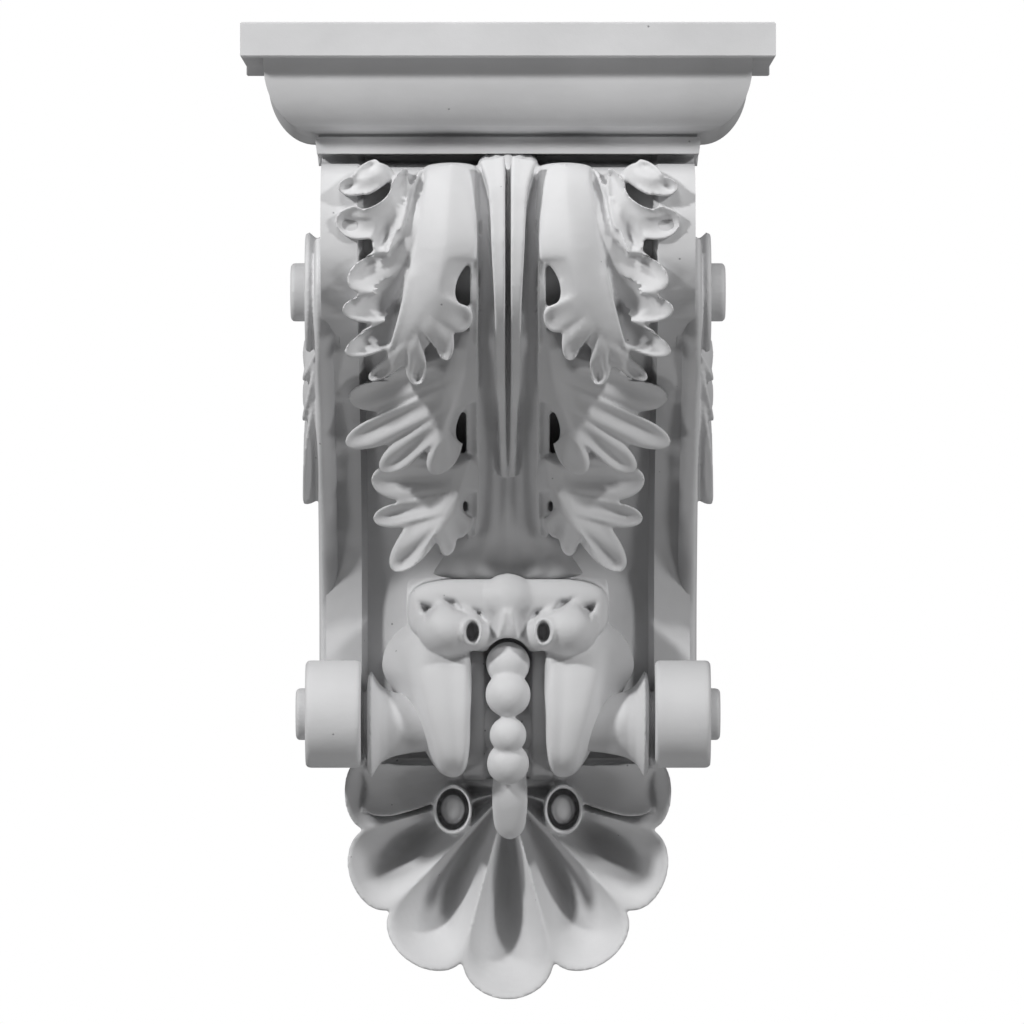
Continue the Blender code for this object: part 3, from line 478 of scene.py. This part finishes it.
def leaf_sheet(spine, outwards, rim):
    """Rings of a sheet of the leaf, straight from its spine out to its rim, and back underneath.

    Its projection changes by a power of the way out, so the spine is a round back. The front is sunk by
    each lobe's hollow, a cosine wave across the lobe and half a sine wave on the way out; the crests
    between the hollows sink by a share of it. It turns up in a lip and is rounded off at the rim. Its
    underside falls from a thin rim to the panel.
    """
    places, along, across, hollow = lobed_rim(rim)
    path = smooth_rows(spine, SPINE_STEPS)
    place = np.linspace(0, len(spine) - 1, SPINE_STEPS)
    root = np.column_stack([np.interp(along, place, path[:, k]) for k in range(3)])
    out = np.sin(np.linspace(0, math.pi / 2, SHEET_RINGS))[:, None]
    front = root + (places - root) * out[..., None]
    front[..., 2] = root[:, 2] + (places[:, 2] - root[:, 2]) * out ** SHEET_DOME
    near = range(-CREST_BLEND, CREST_BLEND + 1)
    crest = np.mean([np.roll(hollow, shift) for shift in near], axis=0)
    wave = (1 + np.cos(math.pi * across)) / 2
    lobe = CREST_SINK * crest + (1 - CREST_SINK) * hollow * wave
    past_crown = np.clip((out - SHEET_CROWN) / (1 - SHEET_CROWN), 0, 1)
    lift = -lobe * np.sin(math.pi * past_crown**outwards) ** HOLLOW_FULLNESS
    past_edge = np.clip((out - EDGE_START) / (1 - EDGE_START), 0, 1)
    lift = lift + SHEET_RIM * (crest > 0) * out**6 - SHEET_EDGE * past_edge**2
    depth = np.maximum(front[..., 2] - panel_projection(front[..., 1]) + LEAF_ROOT_HOLD, LEAF_TIP_THICKNESS)
    full, fade = THICKNESS_FADE
    thickness = LEAF_TIP_THICKNESS + (depth - LEAF_TIP_THICKNESS) * np.clip(full - fade * out, 0, 1)
    under = front[..., 2] - thickness
    front_rings = np.stack([front[..., 0], front[..., 2] + lift, front[..., 1]], axis=-1)
    under_rings = np.stack([front[..., 0], under, front[..., 1]], axis=-1)[::-1]
    return np.concatenate([front_rings, under_rings])


def root_depth(path):
    """How thick a lobe's root is so that it is held by the console's panel."""
    return path[0][2] - panel_projection(path[0][1]) + LEAF_ROOT_HOLD


def mirrored(rings, side):
    return np.asarray(rings) * [side, 1, 1]


def seen_from_side(rings, side):
    """Turns rings of (along the projection, lift, height) so that the lift goes sideways."""
    return np.stack([side * rings[..., 1], rings[..., 0], rings[..., 2]], axis=-1)


def cap_rings():
    """Drafted rectangles down the cap: fascia, soffit, ovolo, quirk and neck fillet."""
    soffit = TOP - FASCIA_HEIGHT
    ovolo_top = soffit - FILLET_HEIGHT
    inner = CAP_DEPTH - SOFFIT_SET_BACK - OVOLO_REACH
    levels = [
        (TOP, CAP_DEPTH - FASCIA_EDGE), (TOP - FASCIA_EDGE, CAP_DEPTH),
        (soffit + FASCIA_EDGE, CAP_DEPTH), (soffit, CAP_DEPTH - FASCIA_EDGE),
        (soffit, CAP_DEPTH - SOFFIT_SET_BACK),
    ]
    for turn in np.linspace(0, math.pi / 2, OVOLO_STEPS):
        levels.append((ovolo_top - OVOLO_HEIGHT * math.sin(turn), inner + OVOLO_REACH * math.cos(turn)))
    neck = ovolo_top - OVOLO_HEIGHT - QUIRK / 2
    top_set_back, bottom_set_back = NECK_SET_BACKS
    levels += [
        (neck, inner - QUIRK), (neck - QUIRK / 2, inner - QUIRK), (neck - QUIRK / 2, inner - top_set_back),
        (neck - QUIRK / 2 - NECK_HEIGHT, inner - bottom_set_back),
    ]
    height, front = np.array(levels).T
    half = CAP_HALF_WIDTH - (CAP_DEPTH - front)
    corners = [
        (-half - MOULD_DRAFT, 0 * half), (-half, 0 * half + DRAFT_PROJECTION), (-half, front),
        (half, front), (half, 0 * half + DRAFT_PROJECTION), (half + MOULD_DRAFT, 0 * half),
    ]
    return np.stack([np.stack([x, p, height], axis=-1) for x, p in corners], axis=1)


def console_rings():
    """The console's S-shaped front with a border each side of its sunk panel.

    Its back is set in where it runs up inside the cap, so that the two backs don't share a plane.
    """
    height, front = smooth_rows(BORDER_PROFILE, CONSOLE_LEVELS).T
    back = np.where(height > NECK_BOTTOM, BACK_SET_IN, 0.0)
    half, edge, panel = BODY_HALF_WIDTH, BORDER_INNER_EDGE, PANEL_HALF_WIDTH
    sunk = front - PANEL_RECESS
    corners = [
        (-half, back), (-half, front), (-edge, front), (-panel, sunk),
        (panel, sunk), (edge, front), (half, front), (half, back),
    ]
    return np.stack([np.stack([x + 0 * height, p, height], axis=-1) for x, p in corners], axis=1)


def shell_outline(steps=24):
    """Places round the shell's rim with how far each lies across its flute, from -1 to 1.

    Each flute ends in half an ellipse that stands on the line between its two notches.
    """
    notches = [(-x, z) for x, z in SHELL_NOTCHES[::-1]] + SHELL_NOTCHES
    bulges = SHELL_BULGES[:0:-1] + SHELL_BULGES
    turn = np.linspace(-math.pi / 2, math.pi / 2, steps, endpoint=False)
    places, across = [], []
    for (x0, z0), (x1, z1), bulge in zip(notches[:-1], notches[1:], bulges):
        chord = np.array([x1 - x0, z1 - z0])
        outwards = np.array([chord[1], -chord[0]]) / np.linalg.norm(chord)
        middle = np.array([x0 + x1, z0 + z1]) / 2
        places.append(middle + np.outer(np.sin(turn), chord / 2) + np.outer(np.cos(turn), outwards * bulge))
        across.append(np.sin(turn))
    return np.vstack(places + [[notches[-1]]]), np.concatenate(across + [[-1.0]])


def shell_rings():
    """Rings from the shell's hub out to its rim, then back to the wall.

    The crest between flutes climbs evenly; a flute is sunk by a parabola across it and turns forward
    again in a lip at the rim.
    """
    outline, across = shell_outline()
    hub = np.array(SHELL_HUB)
    radius = SHELL_RADII[:, None]
    crest = SHELL_RIDGE[0] + (SHELL_RIDGE[1] - SHELL_RIDGE[0]) * radius
    sunk = SHELL_FLUTE_DEPTH * np.sin(math.pi * np.minimum(radius, SHELL_FLUTE_STOP) ** SHELL_FLUTE_REACH)
    projection = crest + (SHELL_LIP * radius**6 - sunk) * (1 - across**2)
    flat = hub + (outline - hub) * radius[..., None]
    front = np.stack([flat[..., 0], projection, flat[..., 1]], axis=-1)
    back = hub + (outline - hub) * SHELL_BACK_SET_IN
    back = np.column_stack([back[:, 0], 0 * across, back[:, 1]])
    return np.concatenate([front, back[None]])


def side_forms(side):
    """Scrolls, leaf and rib of one side."""
    forms = [closed_form(turned_across(LOWER_AXIS, LOWER_SCROLL, side))]
    forms.append(closed_form(turned_across(ROLL_AXIS, ROLL_BELL, side)))
    forms.append(closed_form(turned_across(UPPER_AXIS, UPPER_SCROLL, side)))
    for path in SIDE_LEAF:
        lobe = tongue(path, path[0][2] - BODY_HALF_WIDTH + LEAF_ROOT_HOLD)
        forms.append(closed_form(seen_from_side(lobe, side)))
    rib = [(p, z, BODY_HALF_WIDTH + SIDE_RIB_RELIEF / 2, SIDE_RIB_HALF_WIDTH) for p, z in SIDE_RIB]
    rib = tongue(rib, LEAF_ROOT_HOLD, rings=SIDE_RIB_RINGS, rim=0.0, crown=SIDE_RIB_RELIEF / 2)
    forms.append(closed_form(seen_from_side(rib, side)))
    return forms


def leaf_forms(side):
    """One half of the acanthus leaf: midrib, stem and sheets."""
    forms = []
    for path, crown in [(MIDRIB, 2 * LEAF_CROWN), (STEM, LEAF_CROWN)]:
        rib = tongue(path, root_depth(path), rings=RIB_RINGS, crown=crown)
        forms.append(closed_form(mirrored(rib, side)))
    for sheet in SHEETS:
        forms.append(closed_form(mirrored(leaf_sheet(*sheet), side)))
    return forms


def away_from(line, x, z):
    """Distance from each place to a straight line between two places."""
    (x0, z0), (x1, z1) = line
    run = (x1 - x0) ** 2 + (z1 - z0) ** 2
    along = np.clip(((x - x0) * (x1 - x0) + (z - z0) * (z1 - z0)) / run, 0, 1)
    return np.hypot(x - x0 - along * (x1 - x0), z - z0 - along * (z1 - z0))


def into_pit(corners, x, z):
    """How far each place lies inside a pit, as the least distance to its sides' lines."""
    middle = np.mean(corners, axis=0)
    least = np.full(x.shape, np.inf)
    for (x0, z0), (x1, z1) in zip(corners, corners[1:] + corners[:1]):
        across = np.array([z0 - z1, x1 - x0]) / math.hypot(x1 - x0, z1 - z0)
        inwards = np.sign(across @ (middle - [x0, z0]))
        least = np.minimum(least, inwards * (across[0] * (x - x0) + across[1] * (z - z0)))
    return least


def curl_relief(step=0.55):
    """The curled leaf end as a height over the wall, P(x, z), on a grid.

    The plate is a blunt superellipse that sags in its middle by a parabola. Each boss gives the front of its
    ellipsoid; they melt by a soft maximum, m * log(sum(exp(P / m))). Ridges are bell curves of the distance
    to their line, pits are sunk by a logistic step at their sides, and an eye is a pit with a rim round it,
    by the distance from its centre in its own radii.
    """
    x, z = np.meshgrid(*(np.arange(start, stop, step) for start, stop in CURL_FIELD))
    right = np.abs(x)
    heaps = np.exp((CURL_BACK - MELT_LEVEL) / CURL_MELT) + 0 * x
    (px, pz), (rx, rz) = CURL_PLATE
    level = z + CURL_PLATE_SAG * (1 - (right / rx) ** 2)
    inside = ((right - px) / rx) ** CURL_PLATE_SQUARENESS + (np.abs(level - pz) / rz) ** CURL_PLATE_SQUARENESS
    inside = np.clip(1 - inside, 0, None)
    base, rise = CURL_PLATE_FRONT
    plate = np.where(inside > 0, base + rise * inside**CURL_PLATE_EDGE, CURL_BACK)
    heaps = heaps + np.exp((plate - MELT_LEVEL) / CURL_MELT)
    for (cx, cz, cp), (rx, rz, rp) in CURL_BOSSES:
        inside = 1 - (np.abs(right - cx) / rx) ** 2 - ((z - cz) / rz) ** 2
        front = np.where(inside > 0, cp + rp * np.sqrt(np.clip(inside, 0, None)), CURL_BACK)
        heaps = heaps + np.exp((front - MELT_LEVEL) / CURL_MELT)
    relief = MELT_LEVEL + CURL_MELT * np.log(heaps)
    start, full_height = CURL_STANDING
    standing = np.clip((relief - start) / full_height, 0, 1)
    for line in FOLD_RIDGES:
        relief = relief + FOLD_HEIGHT * standing * np.exp(-(away_from(line, right, z) / FOLD_WIDTH) ** 2)
    for corners in PITS:
        relief = relief - PIT_DEPTH * standing / (1 + np.exp(-into_pit(corners, right, z) / PIT_EDGE))
    (ex, ez), (rx, rz) = EYE
    out = np.hypot((right - ex) / rx, (z - ez) / rz)
    rim_place, rim_width = EYE_RIM_PLACE
    relief = relief + EYE_RIM * np.exp(-((out - rim_place) / rim_width) ** 2) * standing
    relief = relief - EYE_DEPTH * standing / (1 + np.exp((out - 1) * EYE_SHARP))
    arch_width, arch_middle, arch_height = ARCH
    open_arch = (right / arch_width) ** 2 + (np.maximum(z - arch_middle, 0) / arch_height) ** 2
    relief = np.where(open_arch < 1, CURL_BACK, relief)
    return relief_form(x, z, relief, CURL_BACK - CURL_DEPTH)


def relief_form(x, z, relief, back):
    """Closed form of a height over a grid: its front, and a flat back at one projection."""
    rows, columns = x.shape
    front = np.stack([x, relief, z], axis=-1)
    rear = np.stack([x, np.full_like(x, back), z], axis=-1)
    points = np.concatenate([front.reshape(-1, 3), rear.reshape(-1, 3)])
    cell = (np.arange(rows - 1)[:, None] * columns + np.arange(columns - 1)).ravel()
    quads = np.stack([cell, cell + 1, cell + columns + 1, cell + columns], axis=-1)
    edge = np.concatenate([
        np.arange(columns), np.arange(1, rows) * columns + columns - 1,
        (rows - 1) * columns + np.arange(columns - 2, -1, -1), np.arange(rows - 2, 0, -1) * columns,
    ])
    after = np.roll(edge, -1)
    size = rows * columns
    wall = np.stack([edge, edge + size, after + size, after], axis=-1)
    quads = np.concatenate([quads, quads[:, ::-1] + size, wall])
    return points, np.concatenate([quads[:, [0, 1, 2]], quads[:, [0, 2, 3]]])


def pod_form(side):
    """A pod and its outer flank, lofted down its rows.

    Across a row the front rises off the inner edge by a quarter round, dips by a bell curve in the flute,
    and runs to the ridge, from which the flank falls straight to the outer edge.
    """
    rows, front_steps, flank_steps = POD_STEPS
    height, inner, ridge, outer, front = smooth_rows(POD_ROWS, rows).T[:, :, None]
    share = np.linspace(0, 1, front_steps)[None]
    across = inner + (ridge - inner) * share
    onto_front = np.clip(share / POD_ROUND_SHARE, 0, 1)
    round_off = POD_ROUND * (1 - np.sqrt(1 - (1 - onto_front) ** 2))
    flute_middle, flute_width = POD_FLUTE_PLACE
    flute = POD_FLUTE * np.exp(-((share - flute_middle) / flute_width) ** 2)
    level = front - round_off - flute - POD_RIDGE_DROP * share**6
    flank_share = np.linspace(POD_FLANK_START, 1, flank_steps)[None]
    flank_across = ridge + (outer - ridge) * flank_share
    ridge_front = front - POD_RIDGE_DROP
    flank = ridge_front - (ridge_front - POD_FLANK) * flank_share**POD_FLANK_FALL
    back_across = np.concatenate([outer, inner], axis=1)
    back = np.full_like(back_across, POD_BACK)
    x = np.concatenate([across, flank_across, back_across], axis=1)
    p = np.concatenate([level, flank, back], axis=1)
    return closed_form(mirrored(np.stack([x, p, height + 0 * x], axis=-1), side))


def bead_forms():
    """The beads in their groove, which is a half round sunk in a flat bed, and the tail below them."""
    half = BEAD_BED_HALF_WIDTH
    turn = np.linspace(0, math.pi, BED_STEPS)
    groove = np.column_stack([-BEAD_GROOVE * np.cos(turn), -BEAD_GROOVE * np.sin(turn)])
    edge = np.vstack([[(-half, 0)], groove, [(half, 0)]])
    bed = [
        [(-half, BACK_SET_IN, z)] + [(x, front + p, z) for x, p in edge] + [(half, BACK_SET_IN, z)]
        for z, front in smooth_rows(BEAD_BED, BED_STEPS)
    ]
    tail = tongue(BEAD_TAIL, BEAD_TAIL_DEPTH, rim=0.0, crown=BEAD_TAIL_CROWN)
    forms = [closed_form(bed), closed_form(tail)]
    return forms + [ellipsoid((0, projection, height), (radius,) * 3) for height, projection, radius in BEADS]


def shell_curl_forms(side):
    """One rolled ear of the shell, and the knob in its curl."""
    ear = tongue(EAR, EAR_DEPTH, rim=EAR_RIM, crown=EAR_CROWN)
    return [closed_form(mirrored(ear, side)), closed_form(turned_forward(KNOB_PLACE, KNOB_PROFILE, side))]


def srgb(code):
    """Linear colour, with alpha, of an sRGB hex code."""
    values = np.array([int(code[k:k + 2], 16) for k in (1, 3, 5)]) / 255
    linear = np.where(values <= 0.04045, values / 12.92, ((values + 0.055) / 1.055) ** 2.4)
    return (*linear.tolist(), 1.0)


def add_node(tree, kind, settings=None, links=None):
    """A shader node with its settings by socket or property name, and its inputs linked."""
    node = tree.nodes.new(kind)
    for name, value in (settings or {}).items():
        if name in node.inputs:
            node.inputs[name].default_value = value
        else:
            setattr(node, name, value)
    for name, source in (links or {}).items():
        tree.links.new(source, node.inputs[name])
    return node


def per_mm(size):
    """Pattern scale, in metres of object space, for grains of a size in millimetres."""
    return 1 / (size * MM)


def primed_polyurethane():
    """Moulded polyurethane foam under a sprayed grey primer: matte, faintly stippled, with fine specks."""
    material = bpy.data.materials.new("primed_moulded_polyurethane")
    material.use_nodes = True
    tree = material.node_tree
    shader = tree.nodes["Principled BSDF"]
    shader.inputs["IOR"].default_value = 1.45
    place = add_node(tree, "ShaderNodeTexCoord").outputs["Object"]
    # Broad clouds where the primer lies thicker or thinner, a little darker and duller
    cloud = add_node(tree, "ShaderNodeTexNoise", {"Scale": per_mm(70), "Detail": 4.0}, {"Vector": place})
    tone = add_node(tree, "ShaderNodeValToRGB", links={"Fac": cloud.outputs["Fac"]})
    tone.color_ramp.elements[0].position = 0.3
    tone.color_ramp.elements[0].color = srgb("#c8c8c9")
    tone.color_ramp.elements[1].position = 0.72
    tone.color_ramp.elements[1].color = srgb("#d4d4d5")
    dull = add_node(
        tree, "ShaderNodeMapRange", {"To Min": 0.56, "To Max": 0.7}, {"Value": cloud.outputs["Fac"]},
    )
    tree.links.new(dull.outputs["Result"], shader.inputs["Roughness"])
    # Pinholes of the foam and specks of dust under the primer: small grey dots, far apart
    cells = add_node(tree, "ShaderNodeTexVoronoi", {"Scale": per_mm(17)}, {"Vector": place})
    far = add_node(
        tree, "ShaderNodeMapRange", {"From Min": 0.018, "From Max": 0.045},
        {"Value": cells.outputs["Distance"]},
    )
    specks = add_node(
        tree, "ShaderNodeMix", {"data_type": "RGBA"},
        {MIX_SHARE: far.outputs["Result"], MIX_SECOND: tone.outputs["Color"]},
    )
    specks.inputs[MIX_FIRST].default_value = srgb("#8e8e90")
    tree.links.new(specks.outputs[MIX_RESULT], shader.inputs["Base Color"])
    # Stipple of the spray, under a millimetre across, and the hand-modelled unevenness of the pattern
    stipple = add_node(tree, "ShaderNodeTexNoise", {"Scale": per_mm(0.9), "Detail": 2.0}, {"Vector": place})
    uneven = add_node(tree, "ShaderNodeTexNoise", {"Scale": per_mm(16), "Detail": 2.0}, {"Vector": place})
    broad = add_node(
        tree, "ShaderNodeBump", {"Strength": 0.5, "Distance": 0.9 * MM}, {"Height": uneven.outputs["Fac"]},
    )
    fine = add_node(
        tree, "ShaderNodeBump", {"Strength": 0.35, "Distance": 0.12 * MM},
        {"Height": stipple.outputs["Fac"], "Normal": broad.outputs["Normal"]},
    )
    pits = add_node(
        tree, "ShaderNodeBump", {"Strength": 0.6, "Distance": 0.4 * MM},
        {"Height": far.outputs["Result"], "Normal": fine.outputs["Normal"]},
    )
    tree.links.new(pits.outputs["Normal"], shader.inputs["Normal"])
    return material


def finished(piece, material, step=SKIN_STEP):
    """Melts a piece's crossing forms into one skin, softens it as a mould does, and rides it on the body."""
    if step:
        skin = piece.modifiers.new("one_skin", "REMESH")
        skin.mode = "VOXEL"
        skin.voxel_size = step * MM
        soften = piece.modifiers.new("soft_edges", "SMOOTH")
        soften.factor = SOFTENING
        soften.iterations = SOFTENING_ROUNDS
        bpy.context.view_layer.update()
        mesh = bpy.data.meshes.new_from_object(piece.evaluated_get(bpy.context.evaluated_depsgraph_get()))
        piece.modifiers.clear()
        piece.data = mesh
        mesh.calc_loop_triangles()
        faces = len(mesh.loop_triangles)
        if faces > MOST_FACES:
            fewer = piece.modifiers.new("fewer_faces", "DECIMATE")
            fewer.ratio = MOST_FACES / faces
    piece.data.materials.clear()
    piece.data.materials.append(material)
    piece.data.shade_smooth()
    if not step:
        piece.data.set_sharp_from_angle(angle=math.radians(SHARP_ANGLE))
    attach(piece, "root")
    return piece


def add_camera():
    camera = bpy.data.cameras.new("photo_view")
    camera.sensor_width = SENSOR_WIDTH
    camera.lens = FOCAL_PIXELS / FRAME_PIXELS * SENSOR_WIDTH
    camera.shift_x = (FRAME_PIXELS / 2 - CENTRE_PIXEL) / FRAME_PIXELS
    camera.clip_end = VIEW_REACH
    viewer = bpy.data.objects.new("photo_view", camera)
    viewer.location = (0, -CAMERA_DISTANCE, CAMERA_HEIGHT)
    viewer.rotation_euler = (math.pi / 2, 0, 0)
    bpy.context.scene.collection.objects.link(viewer)
    bpy.context.scene.camera = viewer


def add_light(name, azimuth, elevation, distance, size, power):
    """A square soft light aimed at the corbel; azimuth 0 is the front, and positive is the left."""
    light = bpy.data.lights.new(name, "AREA")
    light.size = size
    light.energy = power
    lamp = bpy.data.objects.new(name, light)
    turn, rise = math.radians(azimuth), math.radians(elevation)
    lamp.location = (
        -distance * math.cos(rise) * math.sin(turn),
        LIGHT_AIM - distance * math.cos(rise) * math.cos(turn),
        distance * math.sin(rise),
    )
    lamp.rotation_euler = (math.pi / 2 - rise, 0, -turn)
    bpy.context.scene.collection.objects.link(lamp)


def add_studio():
    world = bpy.data.worlds.new("studio")
    bpy.context.scene.world = world
    world.use_nodes = True
    tree = world.node_tree
    tree.nodes.clear()
    seen = add_node(tree, "ShaderNodeLightPath").outputs["Is Camera Ray"]
    air = add_node(tree, "ShaderNodeBackground", {"Color": (1, 1, 1, 1), "Strength": AIR_LIGHT})
    paper = add_node(tree, "ShaderNodeBackground", {"Color": (1, 1, 1, 1), "Strength": 1.0})
    mixed = add_node(tree, "ShaderNodeMixShader", links={0: seen, 1: air.outputs[0], 2: paper.outputs[0]})
    add_node(tree, "ShaderNodeOutputWorld", links={"Surface": mixed.outputs[0]})
    for light in LIGHTS:
        add_light(*light)


def add_floor():
    mesh = bpy.data.meshes.new("floor")
    places = [(-1, -1), (1, -1), (1, 1), (-1, 1)]
    corners = [(x * FLOOR_REACH, y * FLOOR_REACH, FLOOR_HEIGHT) for x, y in places]
    mesh.from_pydata(corners, [], [(0, 1, 2, 3)])
    floor = bpy.data.objects.new("floor", mesh)
    material = bpy.data.materials.new("pale_floor")
    material.use_nodes = True
    material.node_tree.nodes["Principled BSDF"].inputs["Base Color"].default_value = srgb("#f2f2f2")
    mesh.materials.append(material)
    bpy.context.scene.collection.objects.link(floor)


def main():
    bpy.context.scene.view_settings.view_transform = "Standard"
    add_camera()
    add_studio()
    add_floor()
    primer = primed_polyurethane()
    console = finished(mesh_object("console", [closed_form(console_rings(), CONSOLE_END)]), primer, step=0)
    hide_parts("corbel")
    finished(mesh_object("cap_moulding", [closed_form(cap_rings())]), primer, step=0)
    sheath = tongue(
        SHEATH, 2 * LEAF_ROOT_HOLD, SHEATH_RINGS, rim=0.0, crown=SHEATH_CROWN, sides=SHEATH_SIDES,
        tip=SHEATH_TIP, flutes=SHEATH_FLUTES,
    )
    leaf = [closed_form(sheath)]
    leaf_end = [curl_relief()]
    beads = bead_forms()
    shell = [closed_form(shell_rings())]
    sides = []
    for side in (-1, 1):
        leaf += leaf_forms(side)
        leaf_end.append(pod_form(side))
        shell += shell_curl_forms(side)
        sides += side_forms(side)
    finished(mesh_object("acanthus_leaf", leaf), primer)
    finished(mesh_object("curled_leaf_end", leaf_end), primer)
    finished(mesh_object("beads", beads), primer)
    finished(mesh_object("shell", shell), primer)
    finished(mesh_object("side_scrolls", sides), primer)


main()
